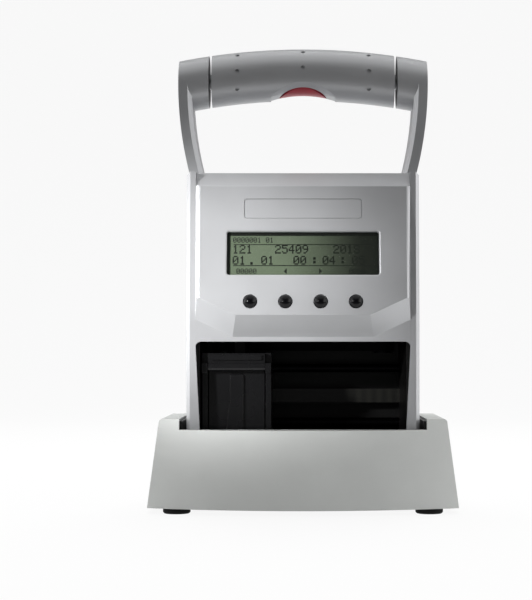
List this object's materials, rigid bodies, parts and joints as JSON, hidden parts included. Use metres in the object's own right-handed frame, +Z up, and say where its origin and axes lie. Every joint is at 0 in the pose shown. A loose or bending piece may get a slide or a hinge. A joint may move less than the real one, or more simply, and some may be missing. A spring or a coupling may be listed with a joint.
{
  "type": "handheld inkjet printer",
  "caption": "Handheld inkjet printer with an arched trigger handle, a leaning display panel with keys and an open print chamber with a sliding ink carriage, standing in a charging dock.",
  "frame": {"origin": "on the table, under the middle of the dock", "axes": "+Z up, +X to the right and +Y to the rear, seen from the display side"},
  "size_m": [0.169, 0.128, 0.2595],
  "materials": {
    "dock_plastic": "satin light-grey moulding",
    "silver_plastic": "satin silver-grey paint",
    "grip_plastic": "satin silver-grey paint",
    "plate_plastic": "satin silver-grey",
    "black_plastic": "matt black",
    "chamber_plastic": "matt black",
    "carriage_plastic": "satin black",
    "cartridge_plastic": "satin black",
    "key_plastic": "glossy black domes",
    "red_plastic": "satin red",
    "white_plastic": "natural white",
    "clear_plastic": "clear lens",
    "lcd_glass": "grey-green liquid crystal panel",
    "circuit_board": "green solder mask",
    "film": "clear film with a fine printed scale",
    "rubber": "matt black",
    "steel": "bare",
    "aluminium": "bare",
    "brass": "bare"
  },
  "bodies": {
    "dock": {"dock_shell": "dock_plastic", "dock_base_plate": "black_plastic", "dock_feet": "rubber", "dock_screws": "steel", "dock_contact_block": "black_plastic", "dock_contact_pins": "brass", "dock_well_lining": "black_plastic", "nozzle_cap": "rubber", "dock_power_jack": "black_plastic"},
    "printer": {"left_side_frame": "silver_plastic", "right_side_frame": "silver_plastic", "front_cover": "silver_plastic", "rear_cover": "silver_plastic", "print_sole": "black_plastic", "sole_pads": "rubber", "sole_screws": "steel", "case_screws": "steel", "chamber_liner": "chamber_plastic", "name_plate": "plate_plastic", "display_window": "clear_plastic", "display_glass": "lcd_glass", "display_frame": "steel", "main_board": "circuit_board", "board_screws": "steel", "key_switches": "black_plastic", "grip_front_shell": "grip_plastic", "grip_rear_shell": "grip_plastic", "handle_core": "aluminium", "handle_screws": "steel", "trigger_switch": "black_plastic", "switch_lever": "steel", "main_guide_rod": "steel", "upper_guide_rod": "steel", "encoder_strip": "film", "drive_belt": "rubber", "drive_motor": "steel", "motor_bracket": "steel", "idler_axle": "steel", "battery_contacts": "brass", "data_port": "steel", "charge_contacts": "brass"},
    "print_carriage": {"carriage": "carriage_plastic", "carriage_bushes": "brass", "belt_clamp": "carriage_plastic", "encoder_sensor": "black_plastic", "ink_cartridge": "cartridge_plastic", "nozzle_plate": "brass", "latch_pin": "steel"},
    "latch": {"cartridge_latch": "carriage_plastic"},
    "drive_pulley": {"motor_pulley": "brass"},
    "loose_pulley": {"idler_pulley": "white_plastic"},
    "trigger_bar": {"trigger": "red_plastic"},
    "key_cap_1": {"key_1": "key_plastic"},
    "key_cap_2": {"key_2": "key_plastic"},
    "key_cap_3": {"key_3": "key_plastic"},
    "key_cap_4": {"key_4": "key_plastic"},
    "battery": {"battery_pack": "black_plastic"}
  },
  "joints": [
    {"name": "printer_lift", "type": "slide", "parent": "dock", "child": "printer", "axis": [0, 0, 1], "range_m": [0, 0.07]},
    {"name": "carriage_travel", "type": "slide", "parent": "printer", "child": "print_carriage", "axis": [1, 0, 0], "range_m": [0, 0.0732]},
    {"name": "latch_swing", "type": "hinge", "parent": "print_carriage", "child": "latch", "pos_m": [-0.0366, -0.0326, 0.0788], "axis": [1, 0, 0], "range_deg": [0, 95]},
    {"name": "motor_pulley_spin", "type": "hinge", "parent": "printer", "child": "drive_pulley", "pos_m": [0.047, 0.029, 0.09], "axis": [0, 0, 1], "range_deg": [-1000, 1000]},
    {"name": "idler_pulley_spin", "type": "hinge", "parent": "printer", "child": "loose_pulley", "pos_m": [-0.047, 0.029, 0.09], "axis": [0, 0, 1], "range_deg": [-1000, 1000]},
    {"name": "trigger_press", "type": "slide", "parent": "printer", "child": "trigger_bar", "axis": [0, 0, 1], "range_m": [0, 0.002], "stiffness_N_per_m": 600, "springref_m": -0.002},
    {"name": "key_1_press", "type": "slide", "parent": "printer", "child": "key_cap_1", "axis": [0, 0.9781, -0.2079], "range_m": [0, 0.0008], "stiffness_N_per_m": 500, "springref_m": -0.001},
    {"name": "key_2_press", "type": "slide", "parent": "printer", "child": "key_cap_2", "axis": [0, 0.9781, -0.2079], "range_m": [0, 0.0008], "stiffness_N_per_m": 500, "springref_m": -0.001},
    {"name": "key_3_press", "type": "slide", "parent": "printer", "child": "key_cap_3", "axis": [0, 0.9781, -0.2079], "range_m": [0, 0.0008], "stiffness_N_per_m": 500, "springref_m": -0.001},
    {"name": "key_4_press", "type": "slide", "parent": "printer", "child": "key_cap_4", "axis": [0, 0.9781, -0.2079], "range_m": [0, 0.0008], "stiffness_N_per_m": 500, "springref_m": -0.001},
    {"name": "battery_slide", "type": "slide", "parent": "printer", "child": "battery", "axis": [0, 1, 0], "range_m": [0, 0.036]}
  ],
  "couplings": [
    {"joint": "motor_pulley_spin", "follows": "carriage_travel", "rad_per_m": 172.41},
    {"joint": "idler_pulley_spin", "follows": "carriage_travel", "rad_per_m": 172.41}
  ]
}
